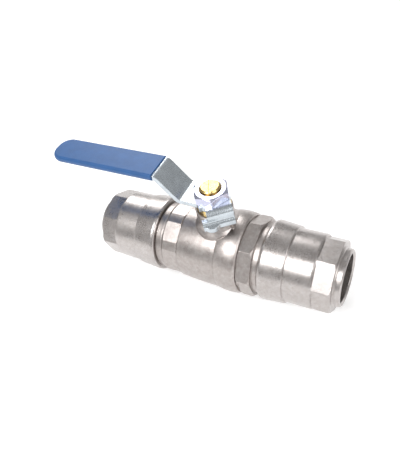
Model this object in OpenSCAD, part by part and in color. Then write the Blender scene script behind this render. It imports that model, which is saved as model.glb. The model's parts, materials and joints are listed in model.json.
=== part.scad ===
// Push-to-connect ball valve with a lever, for pipe pushed in at both ends.
// The near end faces +X, the far end faces -X and the stem stands up along +Z.
// Sub-parts are drawn about the ball's centre. placed() moves the whole valve
// so that the origin is on the pipe axis at the near pipe stop.

/* [Pipe socket] */
// Outside diameter of the pipe that is pushed in
pipe_d = 28; // [22:0.5:35]
// Radial clearance of the guide bore round the pipe
guide_clear = 0.2; // [0.1:0.05:0.4]
// Length of the guide bore beyond the pipe stop
guide_len = 16; // [10:0.5:24]
// Depth of the pipe stop behind the inner edge of the end nut
stop_depth = 4.4; // [2:0.2:8]
// Cord thickness of the O-ring that seals on the pipe
pipe_oring_cord = 3.2; // [2.4:0.1:4]
// Spare length of the O-ring seat
pipe_oring_room = 0.9; // [0.4:0.1:1.5]
// Thickness of the backup ring behind the O-ring
backup_len = 1.4; // [0.8:0.1:2.5]
// Wall of the spigot outside the O-ring seat
spigot_wall = 2.6; // [2:0.1:4]
// Thickness of the support washer
washer_len = 2; // [1:0.1:3]

/* [Grip ring] */
// Length of the grip ring
grip_len = 5; // [4:0.25:7]
// Depth of the wide end of the grip ring's cone outside the pipe
grip_depth = 4.2; // [3.4:0.1:5]
// Slope of the cone, radius over length
grip_slope = 0.5; // [0.35:0.05:0.55]
// Axial float of the grip ring
grip_float = 0.8; // [0.4:0.1:1.5]
// Number of rows of teeth on its bore
grip_teeth = 4; // [2:1:6]
// Depth of those teeth
grip_tooth_depth = 0.45; // [0.2:0.05:0.8]
// Number of part slots round the ring
grip_slots = 11; // [5:1:17]
// Width of a part slot
grip_slot_w = 0.9; // [0.5:0.1:1.5]
// Width of the one slot that splits the ring
grip_split_w = 2.4; // [1:0.2:4]

/* [End nut] */
// Length of an end nut
nut_len = 46; // [38:0.5:60]
// Wall of the barrel outside the thread
nut_wall = 2.3; // [2:0.1:4]
// Length of the raised band at the inner edge
nut_band_len = 15; // [8:0.5:20]
// Rise of the band's step above the barrel
nut_band_rise = 1.15; // [0.5:0.05:2]
// Further rise of the band towards its inner edge
nut_band_taper = 1; // [0:0.1:1.5]
// Length of the eight wrench flats
nut_flat_len = 10.6; // [6:0.2:14]
// Depth of the flats below the barrel
nut_flat_depth = 1.8; // [1:0.1:2.2]
// Length of the collar at the mouth
collar_len = 4.2; // [3:0.2:8]
// Wall of the collar round the pipe
collar_wall = 2.6; // [1.8:0.1:4]
// Turn of the near nut's flats about the pipe
near_nut_turn = 0; // [-22:0.5:22]
// Turn of the far nut's flats about the pipe
far_nut_turn = 15.5; // [-22:0.5:22]

/* [Ball and seats] */
// Diameter of the ball
ball_d = 38; // [36:0.5:48]
// Diameter of the flow way
flow_d = 25; // [18:0.5:26]
// Width of the slot that the stem turns the ball by
ball_slot_w = 6.2; // [5:0.1:7]
// Height of the slot's floor above the flow way
ball_slot_floor = 2.6; // [2:0.1:3]
// Length of a seat ring
seat_len = 6.4; // [5:0.1:7]
// Wall of a seat ring
seat_wall = 5.3; // [4:0.1:5.4]
// How far a seat ring reaches back past the ball's flow-way rim
seat_lip = 1.7; // [1:0.1:3]
// Clearance between the ball and its seats
seat_clear = 0.05; // [0.01:0.01:0.1]

/* [Body] */
// Clearance of the body chamber round the ball
chamber_clear = 0.4; // [0.2:0.05:1]
// Wall of the body over the ball
body_wall = 4.9; // [3.5:0.1:7]
// Rise of the swelling over the connector thread
body_swell = 1.3; // [0.6:0.1:2]
// Length from the back of the far seat to the far nut
far_len = 21.5; // [18:0.5:30]
// Length of the groove between the far nut and the body's rim
far_groove_len = 3.2; // [2:0.2:5]
// Length of the body's rim
rim_len = 2; // [1:0.2:3]
// Length of the body's eight wrench flats
body_flat_len = 10.7; // [6:0.2:12]
// Wall of the body at its wrench flats, over the groove's radius
body_flat_rise = 0.85; // [0.5:0.05:1.5]
// Height of the body's octagon corners over the groove
body_corner_rise = 1.65; // [1:0.05:2.5]
// Turn of the body's flats about the pipe
body_turn = 10.5; // [-22:0.5:22]
// Step from the ball chamber out to the connector's thread
connector_step = 0.95; // [0.7:0.05:2]
// Length from the back of the near seat to the body's end face
near_len = 2.45; // [2:0.05:5]

/* [End connector] */
// Length of the connector's octagonal flange
flange_len = 9; // [6:0.5:14]
// Height of the flange's flats over the groove beside it
flange_rise = 1.2; // [0.6:0.1:3]
// Height of the flange's corners over its flats
flange_corner = 1.9; // [1:0.1:2.4]
// Length of the groove between the flange and the near nut
near_groove_len = 4.1; // [2:0.1:6]
// Rise of both grooves over the spigot thread
groove_rise = 1.9; // [1.2:0.1:3]
// Turn of the flange about the pipe
flange_turn = 14.5; // [-22:0.5:22]
// Cord thickness of the O-ring between body and connector
body_seal_cord = 1.6; // [1:0.1:2]

/* [Stem and gland] */
// Diameter of the stem's shank
stem_d = 14; // [13.8:0.1:17]
// Running clearance round the shank
stem_clear = 0.05; // [0.02:0.01:0.09]
// Diameter of the blow-out collar at the foot of the stem
stem_collar_d = 18; // [16:0.5:19]
// Thickness of that collar
stem_collar_len = 2.8; // [2:0.1:4]
// Thickness of the thrust washer on the collar
thrust_len = 1.4; // [0.8:0.1:2]
// Length of the plain neck that holds the stem's O-ring
neck_len = 5.9; // [4:0.1:8]
// Cord thickness of the stem's O-ring
stem_oring_cord = 1.7; // [1.2:0.1:2.2]
// Height of the stem packing
packing_len = 3.7; // [2:0.1:6]
// Wall of the stem packing
packing_wall = 1.9; // [1.5:0.1:2.5]
// Length of the gland's thread in the boss
gland_thread_len = 3.2; // [2:0.1:5]
// Height of the gland's hexagon
gland_head = 4.6; // [3:0.1:6]
// Height of the gland's six flats over its thread
gland_step = 0.55; // [0.2:0.05:1]
// Wall of the boss round the gland
boss_wall = 2; // [1.5:0.1:3]
// Height of the stop lugs above the boss
lug_rise = 2.6; // [1:0.1:3]
// Depth of the stop lugs outside the boss
lug_depth = 2; // [1:0.1:3]
// Width of a stop lug as an angle about the stem
lug_span = 11; // [6:1:30]
// Diameter of the stem's threaded end
thread_d = 12; // [10:0.5:12]
// Depth of the stem's two lever flats
stem_flat_depth = 0.9; // [0.4:0.1:0.9]
// Height of the stem's end above the lever nut
stem_proud = 1.75; // [0.5:0.1:4]

/* [Lever] */
// Thickness of the lever's steel
lever_t = 2.8; // [2:0.1:3.4]
// Width of the lever
lever_w = 17.5; // [14:0.5:22]
// Distance from the stem to the lower bend
lower_bend_x = 17.3; // [16:0.1:24]
// Distance from the stem to the upper bend
upper_bend_x = 29.2; // [26:0.1:40]
// Rise of the lever between its two bends
lever_rise = 15; // [8:0.5:22]
// Distance from the stem to the lever's tip
lever_reach = 107; // [80:1:150]
// Inside radius of the lever's bends
lever_bend_r = 2.5; // [1:0.1:5]
// Radius of the lever's round head
head_r = 10.4; // [9:0.1:10.6]
// Radius of the corners of the lever's tip
tip_r = 7.5; // [3:0.1:8]
// Wall of the vinyl grip
grip_wall = 0.9; // [0.6:0.1:2]
// Swing of the lever from open to closed
lever_swing = 90; // [45:5:90]

/* [Stop tab] */
// Direction of the tab, from +X towards -Y
tab_turn = 52.8; // [45:0.1:58]
// Gap between the tab and the boss that it swings round
tab_gap = 0.25; // [0.2:0.05:1]
// Outside radius of the bend into the tab
tab_bend_r = 4; // [3.2:0.1:6]
// Half width of the tab's foot
tab_half_w = 9.1; // [8:0.1:11]
// Half width of the tab's bend on its notched side
tab_notch_half_w = 6; // [4:0.1:8]
// Length of the straight side of the tab
tab_drop = 1.8; // [1:0.1:3]
// Turn of the foot outwards from the tab
foot_turn = 70; // [45:5:85]
// Radius of the hollow between tab and foot
foot_bend_r = 2; // [1:0.1:3]
// How far the straight edge of the foot lies outside the tab
foot_reach = 1.7; // [1:0.1:3]
// Radius of the foot's round lobe
lobe_r = 5.3; // [4:0.1:7]
// Offset of the lobe's centre from the tab's centre line
lobe_offset = 4; // [2:0.1:6]
// How far the lobe reaches beyond the straight edge
lobe_reach = 1.8; // [0.5:0.1:3]

/* [Lever nut] */
// Width of the lever nut across flats
lever_nut_af = 19; // [17:0.5:22]
// Height of the lever nut
lever_nut_h = 6; // [4:0.1:10]

/* [Hidden] */
$fn = 96;

// Clearance of a screwed joint, which is drawn without its thread
thread_clear = 0.1;
// Clearance between faces that are drawn up together
face_clear = 0.05;
// Clearance of a seal in its seat
seal_clear = 0.04;
// Room of the loose rings round the pipe, over the guide bore
ring_room = 0.3;
// Clearance of a keyed fit
key_clear = 0.1;
// Overlap that keeps cuts and unions clean
eps = 0.01;
// Small edge break
edge = 0.5;
oct = 360 / 8;

nickel = [0.70, 0.67, 0.65];
zinc = [0.66, 0.69, 0.72];
brass = [0.78, 0.66, 0.38];
chrome = [0.85, 0.86, 0.88];
ptfe = [0.93, 0.93, 0.90];
epdm = [0.10, 0.10, 0.11];
acetal = [0.85, 0.83, 0.76];
spring_steel = [0.72, 0.73, 0.75];
vinyl = [0.12, 0.35, 0.62];

// Radii of the socket, from the pipe outwards
pipe_r = pipe_d / 2;
guide_r = pipe_r + guide_clear;
pipe_seal_r = pipe_r + pipe_oring_cord;
spigot_r = pipe_seal_r + seal_clear + spigot_wall;
nut_bore_r = spigot_r + thread_clear;
barrel_r = nut_bore_r + nut_wall;
nut_flat_r = barrel_r - nut_flat_depth;
ring_bore_r = guide_r + ring_room;
collar_bore_r = guide_r + 0.2;
collar_r = collar_bore_r + collar_wall;
cone_r = pipe_r + grip_depth;
groove_r = spigot_r + groove_rise;

// Places along a socket, from the nut's inner edge outwards
seal_start = stop_depth + guide_len;
seal_end = seal_start + backup_len + pipe_oring_cord + pipe_oring_room;
washer_start = seal_end + face_clear;
cone_start = washer_start + washer_len + face_clear;
grip_start = cone_start + grip_float;
cone_len = grip_float + grip_len + 0.2;
collar_start = nut_len - collar_len;
flat_start = collar_start - nut_flat_len;

// Radii and places of the ball, its seats and the body
ball_r = ball_d / 2;
flow_r = flow_d / 2;
seat_in_r = flow_r + 0.2;
seat_r = seat_in_r + seat_wall;
seat_back = sqrt(ball_r * ball_r - flow_r * flow_r) + seat_lip;
seat_front = seat_back - seat_len;
pocket_r = seat_r + face_clear;
chamber_r = ball_r + chamber_clear;
connector_r = chamber_r + connector_step;
body_thread_r = connector_r + thread_clear;
body_r = chamber_r + body_wall;
swell_r = body_r + body_swell;
body_end = seat_back + near_len;
recess_r = stem_collar_d / 2 + 0.2;
chamber_reach = sqrt(max(0, chamber_r * chamber_r - pocket_r * pocket_r));
connector_start = max(recess_r + 0.3, chamber_reach);
flange_start = body_end + face_clear;
flange_flat_r = max(connector_r, groove_r) + flange_rise;
near_edge = flange_start + flange_len + near_groove_len;
far_edge = seat_back + far_len;
seal_ring_r = connector_r - 0.5;
seal_seat_start = body_end - body_seal_cord - 0.2;

// Places up the stem
collar_z = chamber_r;
thrust_z = collar_z + stem_collar_len + face_clear;
recess_z = thrust_z + thrust_len + face_clear;
packing_z = recess_z + neck_len;
gland_z = packing_z + packing_len;
boss_z = gland_z + gland_thread_len;
lever_z = boss_z + gland_head + 0.5;
lever_top = lever_z + lever_t;
lever_nut_z = lever_top + face_clear;
stem_top = lever_nut_z + lever_nut_h + stem_proud;
stem_r = stem_d / 2;
stem_flats = stem_d - 2 * stem_flat_depth;
neck_r = stem_r + stem_clear;
stem_groove_r = neck_r - stem_oring_cord - seal_clear;
packing_r = neck_r + packing_wall;
boss_r = packing_r + boss_wall;
lug_r = boss_r + lug_depth;
stem_oring_z = recess_z + neck_len / 2;

// The lever's bends
bend_turn = atan2(lever_rise, upper_bend_x - lower_bend_x);
lower_tangent = lever_bend_r * tan(bend_turn / 2);
upper_tangent = (lever_bend_r + lever_t) * tan(bend_turn / 2);
blade_start = upper_bend_x + upper_tangent;

// Angles at which the inner face of the tab meets the stop lugs
tab_inner = boss_r + tab_gap;
tab_reach = tab_inner + lever_t;
stop_turn = acos((tab_inner - key_clear / 2) / lug_r);
open_stop = stop_turn - tab_turn;
close_stop = -stop_turn - tab_turn - lever_swing;

// Crowned run of profile points from a to b
function crown(a, b, rise, n = 8) =
    [for (i = [0 : n]) let (t = i / n) a + t * (b - a) + [0, 4 * rise * t * (1 - t)]];

// Points on an arc about c, from angle a to angle b
function arc(c, r, a, b, n = 8) =
    [for (i = [0 : n]) c + r * [cos(a + (b - a) * i / n), sin(a + (b - a) * i / n)]];

module placed() translate([-near_edge - stop_depth, 0, 0]) children();

module far_end() rotate([0, 0, 180]) children();

// Solid turned about the X axis from [x, radius] points
module turned(profile)
    rotate([0, 90, 0])
        rotate_extrude()
            polygon([for (p = profile) [p[1], p[0]]]);

// Solid turned about the Z axis from [radius, z] points
module spun(profile)
    rotate_extrude()
        polygon(profile);

module tube(start, len, inner_r, outer_r)
    turned([[start, inner_r], [start + len, inner_r], [start + len, outer_r], [start, outer_r]]);

module rod(start, len, r)
    translate([start, 0, 0])
        rotate([0, 90, 0])
            cylinder(r = r, h = len);

// Octagonal band about the X axis with its corners and ends turned off
module octagon(start, len, flat_r, corner_r, chamfer)
    intersection() {
        translate([start, 0, 0])
            rotate([0, 90, 0])
                rotate([0, 0, oct / 2])
                    cylinder(r = flat_r / cos(oct / 2), h = len, $fn = 8);
        turned([
            [start, 0],
            [start, corner_r - chamfer],
            [start + chamfer, corner_r],
            [start + len - chamfer, corner_r],
            [start + len, corner_r - chamfer],
            [start + len, 0]
        ]);
    }

// Bore of a spigot from the seat pocket out, at x from the ball's centre
module socket_bore(nut_edge)
    turned([
        [-eps, 0],
        [-eps, flow_r],
        [nut_edge + stop_depth, flow_r],
        [nut_edge + stop_depth, guide_r],
        [nut_edge + seal_start, guide_r],
        [nut_edge + seal_start, pipe_seal_r + seal_clear],
        [nut_edge + seal_end - edge, pipe_seal_r + seal_clear],
        [nut_edge + seal_end + eps, pipe_seal_r + seal_clear + edge],
        [nut_edge + seal_end + eps, 0]
    ]);

// Outside of a spigot, which the end nut is screwed on
module spigot(nut_edge)
    turned([
        [nut_edge - 2, 0],
        [nut_edge - 2, groove_r - edge],
        [nut_edge - face_clear - edge, groove_r],
        [nut_edge - face_clear, groove_r - edge],
        [nut_edge - face_clear, spigot_r],
        [nut_edge + seal_end - edge, spigot_r],
        [nut_edge + seal_end, spigot_r - edge],
        [nut_edge + seal_end, 0]
    ]);

module body_outside() {
    rim_end = far_edge - far_groove_len;
    flat_end = rim_end - rim_len - 0.6;
    far_end() {
        spigot(far_edge);
        turned([
            [0, 0],
            [0, body_r],
            [flat_end, groove_r],
            [rim_end - rim_len - 0.3, groove_r],
            [rim_end - rim_len, groove_r + 0.4],
            [rim_end - rim_len + 0.4, groove_r + 0.65],
            [rim_end - 0.4, groove_r + 0.65],
            [rim_end, groove_r + 0.3],
            [rim_end, groove_r],
            [far_edge - 1, groove_r],
            [far_edge - 1, 0]
        ]);
        rotate([body_turn, 0, 0])
            octagon(flat_end - body_flat_len, body_flat_len, groove_r + body_flat_rise,
                groove_r + body_corner_rise, 0.7);
    }
    chamber_start = body_flat_len - flat_end;
    turned(concat(
        [[chamber_start, 0], [chamber_start, body_r - 1]],
        crown([chamber_start + 0.5, body_r - 0.6], [body_end - 14, body_r + 0.4], 0.25),
        [[body_end - 13.9, body_r + 0.15]],
        crown([body_end - 13.6, body_r + 0.5], [body_end - 1, body_r + 0.75], swell_r - body_r - 0.6),
        [[body_end, body_r - 0.1], [body_end, 0]]
    ));
}

module stop_lug(turn)
    rotate([0, 0, turn])
        rotate_extrude(angle = lug_span)
            polygon([
                [boss_r - boss_wall / 2, body_r - 6],
                [lug_r + 1, body_r - 6],
                [lug_r, body_r + 4],
                [lug_r, boss_z + lug_rise - edge / 2],
                [lug_r - edge / 2, boss_z + lug_rise],
                [boss_r + 0.1, boss_z + lug_rise],
                [boss_r - 0.3, boss_z],
                [boss_r - boss_wall / 2, boss_z]
            ]);

module boss() {
    spun([
        [0, 0],
        [boss_r + 3, 0],
        [boss_r + 2.4, body_r - 0.3],
        [boss_r + 1, body_r + 1.4],
        [boss_r, body_r + 3.6],
        [boss_r, boss_z - edge],
        [boss_r - edge, boss_z],
        [0, boss_z]
    ]);
    stop_lug(open_stop);
    stop_lug(close_stop - lug_span);
}

module valve_body() placed() color(nickel) difference() {
    chamber_end = max(seat_front - 1, chamber_reach);
    union() {
        body_outside();
        boss();
    }
    far_end() socket_bore(far_edge);
    // Far seat pocket, ball chamber, connector thread and seat for its O-ring
    far_end() rod(0, seat_back, pocket_r);
    turned([
        [-chamber_end, 0],
        [-chamber_end, chamber_r],
        [connector_start - 0.4, chamber_r],
        [connector_start - 0.4, body_thread_r],
        [seal_seat_start, body_thread_r],
        [seal_seat_start, seal_ring_r + body_seal_cord + seal_clear],
        [body_end + eps, seal_ring_r + body_seal_cord + seal_clear],
        [body_end + eps, 0]
    ]);
    // Stem recess, neck and packing chamber
    spun([
        [0, 0],
        [recess_r, 0],
        [recess_r, recess_z],
        [neck_r, recess_z],
        [neck_r, packing_z],
        [packing_r, packing_z],
        [packing_r, boss_z + eps],
        [0, boss_z + eps]
    ]);
}

module end_connector() placed() color(nickel) difference() {
    union() {
        spigot(near_edge);
        rod(flange_start, near_edge - flange_start - 1, groove_r);
        rotate([flange_turn, 0, 0])
            octagon(flange_start, flange_len, flange_flat_r, flange_flat_r + flange_corner, 1.3);
        rod(seal_seat_start - eps, flange_start - seal_seat_start + 1, seal_ring_r - seal_clear);
        turned([
            [connector_start, 0],
            [connector_start, connector_r - edge],
            [connector_start + edge, connector_r],
            [seal_seat_start - edge, connector_r],
            [seal_seat_start, seal_ring_r - seal_clear],
            [seal_seat_start, 0]
        ]);
    }
    socket_bore(near_edge);
    rod(connector_start - eps, seat_back - connector_start + eps, pocket_r);
}

module torus_x(x, inner_r, cord)
    translate([x, 0, 0])
        rotate([0, 90, 0])
            rotate_extrude()
                translate([inner_r + cord / 2, 0])
                    circle(d = cord, $fn = 48);

module body_seal() placed() color(epdm)
    torus_x(seal_seat_start + 0.1 + body_seal_cord / 2, seal_ring_r, body_seal_cord);

module seat() difference() {
    turned([
        [seat_front, seat_in_r],
        [seat_back - edge, seat_in_r],
        [seat_back, seat_in_r + edge],
        [seat_back, seat_r],
        [seat_front + edge, seat_r],
        [seat_front, seat_r - edge]
    ]);
    sphere(r = ball_r + seat_clear);
}

module seat_near() placed() color(ptfe) seat();
module seat_far() placed() color(ptfe) far_end() seat();

module ball() placed() color(chrome) difference() {
    sphere(r = ball_r);
    rod(-ball_r, ball_d, flow_r);
    translate([-ball_slot_w / 2, -ball_r, flow_r + ball_slot_floor])
        cube([ball_slot_w, ball_d, ball_r]);
}

// Round bar with two flats, as a solid from z up
module double_d(r, flats, z, len)
    intersection() {
        translate([0, 0, z])
            cylinder(r = r, h = len);
        translate([-r, -flats / 2, z])
            cube([2 * r, flats, len]);
    }

module stem() placed() color(brass) difference() {
    tongue_z = flow_r + ball_slot_floor + 0.2;
    union() {
        // Tongue that turns the ball
        intersection() {
            translate([0, 0, tongue_z])
                cylinder(r = stem_r - 0.5, h = collar_z - tongue_z + eps);
            translate([key_clear - ball_slot_w / 2, -stem_r, tongue_z])
                cube([ball_slot_w - 2 * key_clear, stem_d, collar_z - tongue_z + eps]);
        }
        spun([
            [0, collar_z],
            [stem_collar_d / 2, collar_z],
            [stem_collar_d / 2, collar_z + stem_collar_len],
            [stem_r, collar_z + stem_collar_len],
            [stem_r, stem_oring_z - stem_oring_cord * 0.6],
            [stem_groove_r, stem_oring_z - stem_oring_cord * 0.6],
            [stem_groove_r, stem_oring_z + stem_oring_cord * 0.6],
            [stem_r, stem_oring_z + stem_oring_cord * 0.6],
            [stem_r, lever_z - face_clear],
            [0, lever_z - face_clear]
        ]);
        double_d(stem_r, stem_flats, lever_z - face_clear - eps, lever_t - 0.3);
        spun([
            [0, lever_z],
            [thread_d / 2 - thread_clear, lever_z],
            [thread_d / 2 - thread_clear, stem_top - 0.8],
            [thread_d / 2 - 0.9, stem_top],
            [0, stem_top]
        ]);
    }
    // Mark across the end of the stem
    rotate([0, 0, 25])
        translate([-0.7, -thread_d, stem_top - 0.6])
            cube([1.4, 2 * thread_d, 2]);
}

module stem_thrust_washer() placed() color(ptfe)
    translate([0, 0, thrust_z])
        difference() {
            cylinder(r = recess_r - 0.1, h = thrust_len);
            translate([0, 0, -eps])
                cylinder(r = stem_r + stem_clear, h = thrust_len + 2 * eps);
        }

module stem_oring() placed() color(epdm)
    translate([0, 0, stem_oring_z])
        rotate_extrude()
            translate([neck_r - (stem_oring_cord + seal_clear) / 2, 0])
                circle(d = stem_oring_cord - seal_clear, $fn = 48);

module stem_packing() placed() color(ptfe)
    translate([0, 0, packing_z + face_clear])
        difference() {
            cylinder(r = packing_r - face_clear, h = packing_len - 2 * face_clear);
            translate([0, 0, -eps])
                cylinder(r = stem_r + stem_clear, h = packing_len + 2 * eps);
        }

module gland_nut() placed() color(brass) {
    flat_r = packing_r + gland_step;
    corner_r = flat_r + 0.8;
    difference() {
        union() {
            translate([0, 0, gland_z + face_clear])
                cylinder(r = packing_r - thread_clear, h = boss_z - gland_z);
            intersection() {
                translate([0, 0, boss_z + face_clear])
                    rotate([0, 0, 30])
                        cylinder(r = flat_r / cos(30), h = gland_head, $fn = 6);
                spun([
                    [0, boss_z],
                    [corner_r - 0.4, boss_z],
                    [corner_r, boss_z + 1],
                    [corner_r, boss_z + gland_head - 0.8],
                    [corner_r - 1.2, boss_z + gland_head + face_clear],
                    [0, boss_z + gland_head + face_clear]
                ]);
            }
        }
        translate([0, 0, gland_z - 1])
            cylinder(r = stem_r + stem_clear, h = gland_head + gland_thread_len + 4);
    }
}

// Side view of the bent strip, as [x, z]
module strip_side() {
    low = [lower_tangent - lower_bend_x, lever_top + lever_bend_r];
    high = [-blade_start, lever_top + lever_rise - lever_t - lever_bend_r];
    outer_r = lever_bend_r + lever_t;
    polygon(concat(
        [[0, lever_top]],
        arc(low, lever_bend_r, -90, -90 - bend_turn),
        arc(high, outer_r, 90 - bend_turn, 90),
        [[-lever_reach, lever_top + lever_rise], [-lever_reach, lever_z + lever_rise]],
        arc(high, lever_bend_r, 90, 90 - bend_turn),
        arc(low, outer_r, -90 - bend_turn, -90),
        [[0, lever_z]]
    ));
}

// Plan of the grip part of the strip from x = from outwards, with its round tip
module strip_plan(from, extra = 0) {
    half = lever_w / 2 + extra;
    tip = tip_r + extra;
    translate([tip_r - lever_reach, 0])
        for (side = [-1, 1])
            translate([0, side * (half - tip)])
                circle(r = tip, $fn = 64);
    translate([-lever_reach - extra, tip - half])
        square([tip, 2 * (half - tip)]);
    translate([tip_r - lever_reach, -half])
        square([from + lever_reach - tip_r, 2 * half]);
}

// Section of the tab in a plane through the stem, as [reach, z]
module tab_section() {
    bend = [tab_reach - tab_bend_r, lever_top - tab_bend_r];
    hollow = [tab_reach + foot_bend_r, bend.y - tab_drop];
    foot = foot_reach + 4;
    along = [sin(foot_turn), -cos(foot_turn)];
    polygon(concat(
        [[0, lever_top]],
        arc(bend, tab_bend_r, 90, 0),
        arc(hollow, foot_bend_r, 180, 180 + foot_turn),
        [
            hollow + foot_bend_r * [-cos(foot_turn), -sin(foot_turn)] + foot * along,
            hollow + (foot_bend_r + lever_t) * [-cos(foot_turn), -sin(foot_turn)] + foot * along
        ],
        arc(hollow, foot_bend_r + lever_t, 180 + foot_turn, 180),
        arc(bend, tab_bend_r - lever_t, 0, 90),
        [[0, lever_z]]
    ));
}

// Plan of the tab, as [reach, side] from the stem
module tab_plan() {
    foot_edge = tab_reach + foot_reach;
    translate([0, -tab_half_w])
        square([foot_edge, 2 * tab_half_w]);
    translate([foot_edge + lobe_reach - lobe_r, -lobe_offset])
        circle(r = lobe_r, $fn = 64);
}

module stop_tab()
    rotate([0, 0, -tab_turn])
        difference() {
            intersection() {
                translate([0, tab_half_w + 1, 0])
                    rotate([90, 0, 0])
                        linear_extrude(2 * tab_half_w + 2)
                            tab_section();
                linear_extrude(lever_top + 1)
                    tab_plan();
            }
            // Notch beside the bend, over the lobe
            translate([head_r - 3, -tab_half_w - 2, lever_top - tab_bend_r - tab_drop + 0.2])
                cube([tab_reach, tab_half_w + 2 - tab_notch_half_w, 20]);
        }

module lever() placed() color(zinc) difference() {
    union() {
        translate([0, 0, lever_z])
            cylinder(r = head_r, h = lever_t);
        stop_tab();
        intersection() {
            translate([0, lever_w / 2, 0])
                rotate([90, 0, 0])
                    linear_extrude(lever_w)
                        strip_side();
            linear_extrude(lever_top + lever_rise + 1)
                strip_plan(0);
        }
    }
    double_d(stem_r + key_clear / 2, stem_flats + key_clear, lever_z - 1, lever_t + 2);
}

module lever_grip() placed() color(vinyl) difference() {
    layers = 6;
    round_r = lever_t / 2 + grip_wall;
    hull()
        for (i = [0 : layers], side = [-1, 1]) {
            lift = round_r * sin(90 * i / layers);
            inset = 0.7 * round_r * (1 - cos(90 * i / layers));
            translate([0, 0, lever_z + lever_rise + lever_t / 2 + side * lift - 0.005])
                linear_extrude(0.01)
                    strip_plan(-blade_start, grip_wall - inset);
        }
    translate([0, 0, lever_z + lever_rise - 0.02])
        linear_extrude(lever_t + 0.04)
            strip_plan(-blade_start + 1, 0.02);
}

module lever_nut() placed() color(zinc) difference() {
    corner_r = lever_nut_af / 2 / cos(30);
    intersection() {
        translate([0, 0, lever_nut_z])
            cylinder(r = corner_r, h = lever_nut_h, $fn = 6);
        spun([
            [0, lever_nut_z],
            [corner_r - 0.6, lever_nut_z],
            [corner_r, lever_nut_z + 0.5],
            [corner_r, lever_nut_z + lever_nut_h - 1.4],
            [lever_nut_af / 2 - 0.5, lever_nut_z + lever_nut_h],
            [0, lever_nut_z + lever_nut_h]
        ]);
    }
    spun([
        [0, lever_nut_z - 1],
        [thread_d / 2, lever_nut_z - 1],
        [thread_d / 2, lever_nut_z + lever_nut_h - 0.6],
        [thread_d / 2 + 0.7, lever_nut_z + lever_nut_h + 0.1],
        [0, lever_nut_z + lever_nut_h + 0.1]
    ]);
}

// Places in the end nut and its rings are from the nut's inner edge
module end_nut(turn) difference() {
    band_r = barrel_r + nut_band_rise;
    inner_r = band_r + nut_band_taper;
    union() {
        turned([
            [0, 0],
            [0, inner_r - 0.9],
            [0.5, inner_r - 0.35],
            [1.2, inner_r - 0.08],
            [2, inner_r],
            [nut_band_len - 0.8, band_r],
            [nut_band_len - 0.3, band_r - 0.25],
            [nut_band_len, barrel_r],
            [flat_start - 1.2, barrel_r],
            [flat_start - 0.4, barrel_r - 0.25],
            [flat_start, barrel_r - 0.9],
            [flat_start, nut_flat_r - 1],
            [flat_start, 0]
        ]);
        rotate([turn, 0, 0])
            octagon(flat_start - 1, nut_flat_len + 1, nut_flat_r, barrel_r - 0.1, 0.9);
        turned([
            [collar_start - 1, 0],
            [collar_start - 1, collar_r + 1.4],
            [collar_start + 0.5, collar_r + 0.7],
            [collar_start + 0.9, collar_r],
            [nut_len - 0.8, collar_r],
            [nut_len, collar_r - 0.8],
            [nut_len, 0]
        ]);
    }
    turned([
        [-eps, 0],
        [-eps, nut_bore_r + 0.4],
        [0.6, nut_bore_r],
        [cone_start, nut_bore_r],
        [cone_start, cone_r],
        [cone_start + cone_len, cone_r - cone_len * grip_slope],
        [cone_start + cone_len, collar_bore_r],
        [nut_len - 0.9, collar_bore_r],
        [nut_len + eps, collar_bore_r + 0.9],
        [nut_len + eps, 0]
    ]);
}

// Split conical ring with saw teeth on its bore
module grip_ring() difference() {
    big_r = cone_r - (grip_start - cone_start) * grip_slope - 0.12;
    pitch = grip_len / grip_teeth;
    grip_end = grip_start + grip_len;
    turned(concat(
        [[grip_end, big_r - grip_len * grip_slope], [grip_start, big_r]],
        [for (i = [0 : grip_teeth - 1], tip = [0, 1])
            tip == 0 ? [grip_start + i * pitch, pipe_r + grip_tooth_depth]
                : [grip_start + (i + 1) * pitch - eps, pipe_r]]
    ));
    translate([grip_start - 1, -grip_split_w / 2, -cone_r - 1])
        cube([grip_len + 2, grip_split_w, cone_r + 1]);
    for (i = [1 : grip_slots])
        rotate([i * 360 / (grip_slots + 1), 0, 0])
            translate([grip_start - 1, -grip_slot_w / 2, -cone_r - 1])
                cube([grip_len - 0.2, grip_slot_w, cone_r + 1]);
}

module support_washer()
    tube(washer_start, washer_len, ring_bore_r, nut_bore_r - 0.2);

module pipe_oring()
    torus_x(seal_start + backup_len + (seal_end - seal_start - backup_len) / 2, pipe_r, pipe_oring_cord);

module backup_ring()
    tube(seal_start + face_clear, backup_len - 2 * face_clear, ring_bore_r, pipe_seal_r);

module near_socket() placed() translate([near_edge, 0, 0]) children();
module far_socket() placed() far_end() translate([far_edge, 0, 0]) children();

module end_nut_near() near_socket() color(nickel) end_nut(near_nut_turn);
module grip_ring_near() near_socket() color(spring_steel) grip_ring();
module support_washer_near() near_socket() color(acetal) support_washer();
module pipe_oring_near() near_socket() color(epdm) pipe_oring();
module backup_ring_near() near_socket() color(acetal) backup_ring();
module end_nut_far() far_socket() color(nickel) end_nut(-far_nut_turn);
module grip_ring_far() far_socket() color(spring_steel) grip_ring();
module support_washer_far() far_socket() color(acetal) support_washer();
module pipe_oring_far() far_socket() color(epdm) pipe_oring();
module backup_ring_far() far_socket() color(acetal) backup_ring();

valve_body();
end_connector();
body_seal();
seat_near();
seat_far();
ball();
stem();
stem_thrust_washer();
stem_oring();
stem_packing();
gland_nut();
lever();
lever_grip();
lever_nut();
end_nut_near();
grip_ring_near();
support_washer_near();
pipe_oring_near();
backup_ring_near();
end_nut_far();
grip_ring_far();
support_washer_far();
pipe_oring_far();
backup_ring_far();
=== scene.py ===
import json
import math

import bpy
from mathutils import Matrix, Vector


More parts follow.
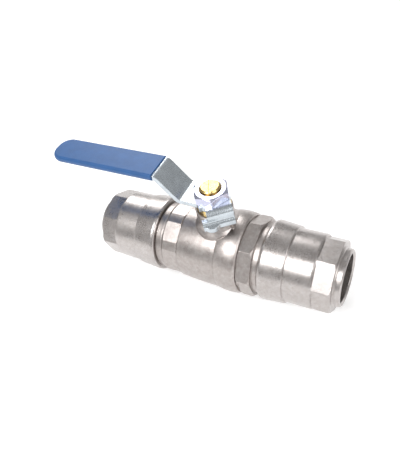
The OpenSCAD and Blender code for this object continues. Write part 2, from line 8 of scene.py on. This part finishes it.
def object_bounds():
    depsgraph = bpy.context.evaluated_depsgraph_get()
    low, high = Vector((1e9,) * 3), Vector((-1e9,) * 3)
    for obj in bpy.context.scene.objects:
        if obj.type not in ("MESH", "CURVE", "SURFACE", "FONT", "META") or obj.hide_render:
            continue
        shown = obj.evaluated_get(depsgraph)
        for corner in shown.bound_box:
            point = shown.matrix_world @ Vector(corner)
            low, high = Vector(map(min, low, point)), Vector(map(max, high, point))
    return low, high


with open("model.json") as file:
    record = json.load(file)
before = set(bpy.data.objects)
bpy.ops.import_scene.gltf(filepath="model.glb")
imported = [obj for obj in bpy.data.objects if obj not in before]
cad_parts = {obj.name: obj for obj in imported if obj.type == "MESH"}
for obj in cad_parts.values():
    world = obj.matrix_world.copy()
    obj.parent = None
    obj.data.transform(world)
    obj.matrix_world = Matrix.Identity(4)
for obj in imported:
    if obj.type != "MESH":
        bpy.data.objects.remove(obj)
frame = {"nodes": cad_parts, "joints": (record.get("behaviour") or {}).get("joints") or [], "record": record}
cad_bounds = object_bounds()

# Camera, fitted to the photograph. Angles in degrees, lengths in metres
CAMERA_AZIMUTH = 37.94
CAMERA_ELEVATION = 45.42
CAMERA_ROLL = -15.37
CAMERA_DISTANCE = 0.30716
CAMERA_LENS_MM = 39.76
SENSOR_HEIGHT_MM = 36
# Point that the camera looks at, from the foot of the stem axis
CAMERA_TARGET = Vector((-0.01381, 0, 0.01557))

MM = 0.001


def joint(name):
    """The frame's joint of that name."""
    return next(j for j in frame["joints"] if j["name"] == name)


STEM_FOOT = Vector(joint("lever_turn")["pos_m"])


class Nodes:
    """One material's node tree, with short calls for the nodes it is made of."""

    def __init__(self, name):
        self.material = bpy.data.materials.new(name)
        self.material.use_nodes = True
        self.tree = self.material.node_tree
        self.shader = self.tree.nodes["Principled BSDF"]

    def add(self, kind, inputs=None, **settings):
        """A node of that kind, with its settings and its inputs as numbers or sockets."""
        made = self.tree.nodes.new(kind)
        for key, value in settings.items():
            setattr(made, key, value)
        for key, value in (inputs or {}).items():
            self.put(made.inputs[key], value)
        return made

    def put(self, socket, value):
        if isinstance(value, bpy.types.NodeSocket):
            self.tree.links.new(value, socket)
        else:
            socket.default_value = value

    def set(self, **inputs):
        """Inputs of the shader, with _ for a space in their names."""
        for key, value in inputs.items():
            self.put(self.shader.inputs[key.replace("_", " ")], value)

    def place(self):
        return self.add("ShaderNodeTexCoord").outputs["Object"]

    def noise(self, size, detail=3, roughness=0.5, stretch=(1, 1, 1)):
        """Noise whose blots are about size metres wide, from 0 to 1."""
        spread = self.add("ShaderNodeMapping", {"Vector": self.place(), "Scale": stretch})
        made = self.add("ShaderNodeTexNoise", {
            "Vector": spread.outputs["Vector"], "Scale": 1 / size, "Detail": detail,
            "Roughness": roughness})
        return made.outputs["Fac"]

    def cells(self, size):
        """Distance to the nearest of a set of points about size metres apart."""
        made = self.add("ShaderNodeTexVoronoi", {"Vector": self.place(), "Scale": 1 / size})
        return made.outputs["Distance"]

    def ramp(self, value, *stops):
        """Colours or greys blended along value, from (place, colour) stops."""
        made = self.add("ShaderNodeValToRGB", {"Fac": value})
        points = made.color_ramp.elements
        while len(points) < len(stops):
            points.new(0.5)
        for point, (at, colour) in zip(points, stops):
            point.position = at
            point.color = (*(colour if isinstance(colour, tuple) else (colour,) * 3), 1)
        return made.outputs["Color"]

    def span(self, value, low, high, start=0.0, end=1.0):
        """value brought from start..end to low..high."""
        made = self.add("ShaderNodeMapRange", {
            "Value": value, "From Min": start, "From Max": end, "To Min": low, "To Max": high})
        return made.outputs["Result"]

    def mix(self, share, one, other, blend="MIX"):
        made = self.add("ShaderNodeMix", data_type="RGBA", blend_type=blend)
        self.put(made.inputs[0], share)
        for socket, value in ((made.inputs[6], one), (made.inputs[7], other)):
            self.put(socket, (*value, 1) if isinstance(value, tuple) else value)
        return made.outputs[2]

    def math(self, operation, one, other=0.0):
        made = self.add("ShaderNodeMath", operation=operation)
        self.put(made.inputs[0], one)
        self.put(made.inputs[1], other)
        return made.outputs[0]

    def bump(self, *layers, edge=0.0):
        """Bumps from (height, depth in metres) layers, over edges rounded by edge metres."""
        normal = None
        if edge:
            normal = self.add("ShaderNodeBevel", {"Radius": edge}, samples=8).outputs["Normal"]
        for height, depth in layers:
            made = self.add("ShaderNodeBump", {"Height": height, "Distance": depth, "Strength": 1})
            if normal:
                self.put(made.inputs["Normal"], normal)
            normal = made.outputs["Normal"]
        self.set(Normal=normal)


def nickel(name, colour, warm, roughness, grain_depth):
    """Satin nickel plate over a blasted brass surface."""
    n = Nodes(name)
    grain = n.noise(0.30 * MM, detail=4, roughness=0.6)
    mottle = n.noise(2.2 * MM, detail=4, roughness=0.65)
    cloud = n.noise(9 * MM, detail=2)
    tone = n.mix(n.ramp(mottle, (0.35, 0.0), (0.7, 1.0)), warm, colour)
    tone = n.mix(n.span(grain, 0.0, 0.30, 0.62, 0.40), tone, (0.16, 0.14, 0.13))
    n.set(
        Base_Color=tone,
        Metallic=1.0,
        Roughness=n.math("ADD", n.span(cloud, roughness - 0.05, roughness + 0.05, 0.3, 0.7),
                         n.span(grain, -0.06, 0.06, 0.35, 0.65)),
    )
    n.bump((mottle, 0.05 * MM), (grain, grain_depth), edge=0.35 * MM)
    return n.material


def zinc(name, colour, roughness, stretch):
    """Bright zinc plate on rolled or turned steel."""
    n = Nodes(name)
    grain = n.noise(0.35 * MM, detail=3, roughness=0.6, stretch=stretch)
    cloud = n.noise(5 * MM, detail=3)
    tone = n.mix(n.span(cloud, 0.0, 1.0, 0.35, 0.7), colour, tuple(0.82 * c for c in colour))
    n.set(
        Base_Color=tone,
        Metallic=1.0,
        Roughness=n.span(grain, roughness - 0.05, roughness + 0.07, 0.3, 0.7),
    )
    n.bump((cloud, 0.06 * MM), (grain, 0.010 * MM), edge=0.3 * MM)
    return n.material


def brass(name, colour, roughness):
    """Turned brass, a little dulled."""
    n = Nodes(name)
    grain = n.noise(0.25 * MM, detail=3)
    cloud = n.noise(1.6 * MM, detail=3, roughness=0.6)
    tone = n.mix(n.span(cloud, 0.0, 1.0, 0.35, 0.65), colour, tuple(0.62 * c for c in colour))
    n.set(
        Base_Color=tone,
        Metallic=1.0,
        Roughness=n.span(grain, roughness - 0.05, roughness + 0.06, 0.3, 0.7),
    )
    n.bump((cloud, 0.05 * MM), (grain, 0.012 * MM), edge=0.15 * MM)
    return n.material


def vinyl(name, colour):
    """Dipped vinyl with a fine orange peel."""
    n = Nodes(name)
    peel = n.noise(0.9 * MM, detail=2)
    grain = n.noise(0.25 * MM, detail=3, roughness=0.6)
    tone = n.mix(n.span(n.noise(6 * MM), 0.0, 1.0, 0.3, 0.7), colour,
                 tuple(0.85 * c for c in colour))
    n.set(
        Base_Color=tone,
        Roughness=n.span(grain, 0.40, 0.52, 0.3, 0.7),
        Specular_IOR_Level=0.5,
        Sheen_Weight=0.15,
        Sheen_Roughness=0.4,
    )
    n.bump((peel, 0.05 * MM), (grain, 0.015 * MM))
    return n.material


def plastic(name, colour, roughness, grain_size=0.5 * MM):
    """Moulded or turned plastic or rubber."""
    n = Nodes(name)
    grain = n.noise(grain_size, detail=3)
    cloud = n.noise(4 * MM, detail=2)
    tone = n.mix(n.span(cloud, 0.0, 1.0, 0.3, 0.7), colour, tuple(0.88 * c for c in colour))
    n.set(Base_Color=tone, Roughness=n.span(grain, roughness - 0.06, roughness + 0.06, 0.3, 0.7))
    n.bump((grain, 0.012 * MM), edge=0.12 * MM)
    return n.material


def chrome(name):
    n = Nodes(name)
    haze = n.noise(3 * MM, detail=3)
    n.set(
        Base_Color=n.mix(haze, (0.72, 0.73, 0.75), (0.80, 0.81, 0.82)),
        Metallic=1.0,
        Roughness=n.span(haze, 0.04, 0.10, 0.3, 0.7),
    )
    n.bump((haze, 0.002 * MM), edge=0.2 * MM)
    return n.material


FINISHES = {
    "nickel_forged": nickel("nickel_forged", (0.56, 0.53, 0.51), (0.44, 0.39, 0.37), 0.36, 0.030 * MM),
    "nickel_nut": nickel("nickel_nut", (0.60, 0.57, 0.56), (0.50, 0.46, 0.44), 0.30, 0.022 * MM),
    "zinc_plated_steel": zinc("zinc_plated_steel", (0.60, 0.65, 0.69), 0.26, (1, 1, 1)),
    "zinc_plated_nut": zinc("zinc_plated_nut", (0.62, 0.63, 0.78), 0.22, (1, 1, 1)),
    "bare_brass": brass("bare_brass", (0.72, 0.53, 0.22), 0.24),
    "chromed_ball": chrome("chromed_ball"),
    "spring_steel": zinc("spring_steel", (0.56, 0.56, 0.57), 0.20, (1, 1, 1)),
    "blue_vinyl": vinyl("blue_vinyl", (0.022, 0.105, 0.30)),
    "ptfe": plastic("ptfe", (0.86, 0.86, 0.83), 0.42),
    "acetal": plastic("acetal", (0.80, 0.77, 0.68), 0.36),
    "seal_rubber": plastic("seal_rubber", (0.012, 0.012, 0.013), 0.48, 0.3 * MM),
}


def finish_nodes():
    """Gives every CAD node the material of its slot in the record."""
    for part in frame["record"]["subparts"]:
        node = frame["nodes"][part["node"]]
        node.data.materials.clear()
        node.data.materials.append(FINISHES[part["material_slot"]])


def add_camera():
    """The photograph's camera, which looks at the valve from the near end and above."""
    azimuth = math.radians(CAMERA_AZIMUTH)
    elevation = math.radians(CAMERA_ELEVATION)
    roll = math.radians(CAMERA_ROLL)
    back = Vector((
        math.sin(azimuth) * math.cos(elevation),
        -math.cos(azimuth) * math.cos(elevation),
        math.sin(elevation),
    ))
    level = Vector((math.cos(azimuth), math.sin(azimuth), 0))
    upright = back.cross(level)
    right = math.cos(roll) * level + math.sin(roll) * upright
    up = math.cos(roll) * upright - math.sin(roll) * level
    data = bpy.data.cameras.new("camera")
    data.sensor_fit = "VERTICAL"
    data.sensor_height = SENSOR_HEIGHT_MM
    data.lens = CAMERA_LENS_MM
    data.clip_start = 0.01
    camera = bpy.data.objects.new("camera", data)
    bpy.context.scene.collection.objects.link(camera)
    place = STEM_FOOT + CAMERA_TARGET + CAMERA_DISTANCE * back
    camera.matrix_world = Matrix.Translation(place) @ Matrix((right, up, back)).transposed().to_4x4()
    bpy.context.scene.camera = camera


def add_lamp(name, place, size, power, colour=(1, 1, 1)):
    """A square soft lamp at place, in metres from the stem's foot, which faces the valve."""
    data = bpy.data.lights.new(name, "AREA")
    data.shape = "SQUARE"
    data.size = size
    data.energy = power
    data.color = colour
    lamp = bpy.data.objects.new(name, data)
    bpy.context.scene.collection.objects.link(lamp)
    lamp.location = STEM_FOOT + Vector(place)
    lamp.rotation_euler = Vector(place).to_track_quat("Z", "Y").to_euler()


def add_floor():
    """A plain pale floor under the lowest point, which reads white to the camera and in reflections."""
    low = cad_bounds[0][2] - 0.0002
    half = 3.0
    mesh = bpy.data.meshes.new("floor")
    corners = [(-half, -half, low), (half, -half, low), (half, half, low), (-half, half, low)]
    mesh.from_pydata(corners, [], [(0, 1, 2, 3)])
    floor = bpy.data.objects.new("floor", mesh)
    bpy.context.scene.collection.objects.link(floor)
    n = Nodes("floor")
    rays = n.add("ShaderNodeLightPath")
    n.set(Base_Color=(0.82, 0.82, 0.82, 1), Roughness=0.9, Emission_Color=(1, 1, 1, 1))
    n.set(Emission_Strength=n.math("MULTIPLY", n.math(
        "MAXIMUM", rays.outputs["Is Camera Ray"], rays.outputs["Is Glossy Ray"]), 0.35))
    mesh.materials.append(n.material)


def set_world():
    world = bpy.data.worlds.new("studio")
    world.use_nodes = True
    tree = world.node_tree
    background = tree.nodes["Background"]
    background.inputs["Color"].default_value = (1, 1, 1, 1)
    background.inputs["Strength"].default_value = 0.45
    bpy.context.scene.world = world
    bpy.context.scene.view_settings.view_transform = "Standard"


finish_nodes()
add_camera()
set_world()
add_floor()
add_lamp("key", (-0.25, -0.75, 0.95), 0.5, 9)
add_lamp("fill", (0.8, -0.3, 0.6), 0.6, 4)
add_lamp("rim", (-0.5, 0.7, 0.6), 0.5, 4)
